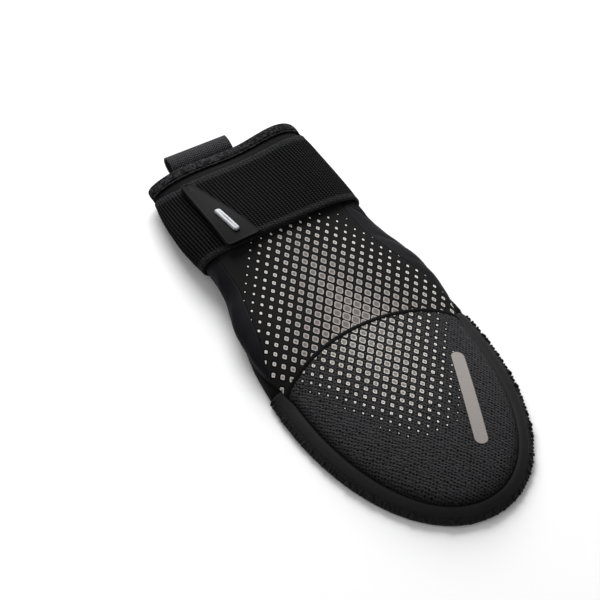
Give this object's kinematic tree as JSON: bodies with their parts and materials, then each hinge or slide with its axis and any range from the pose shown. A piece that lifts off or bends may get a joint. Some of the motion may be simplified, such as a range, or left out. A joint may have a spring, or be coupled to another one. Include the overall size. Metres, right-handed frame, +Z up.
{
  "type": "sliding mitt",
  "caption": "Padded sliding mitt lying on its palm: foam sole pad, domed toe cap with a rim, open wrist cuff, wrap-round elastic strap and pull loop.",
  "frame": {"origin": "middle of the underside of the box round the mitt, on the surface that it lies on", "axes": "+Z up from the palm to the back of the hand, +Y from the toe towards the wrist opening"},
  "size_m": [0.1354, 0.3311, 0.0339],
  "materials": {
    "foam": "black knit over foam",
    "smooth_fabric": "smooth matte black fabric",
    "knit_tape": "black knitted binding tape",
    "stretch_fabric": "black stretch fabric with a faint sheen",
    "mesh_fabric": "black spacer mesh",
    "elastic": "ribbed black elastic",
    "moulded_rubber": "satin charcoal rubber",
    "silver": "silver satin",
    "webbing": "black woven webbing"
  },
  "bodies": {
    "root": {"palm_pad": "foam", "wrist_cuff": "smooth_fabric", "cuff_binding": "knit_tape", "back_panel": "smooth_fabric", "gusset_left": "stretch_fabric", "gusset_right": "stretch_fabric", "toe_cap": "mesh_fabric", "rim_band": "smooth_fabric", "wrist_strap": "elastic", "strap_tab": "moulded_rubber", "tab_bar": "silver", "pull_loop": "webbing"}
  },
  "joints": []
}
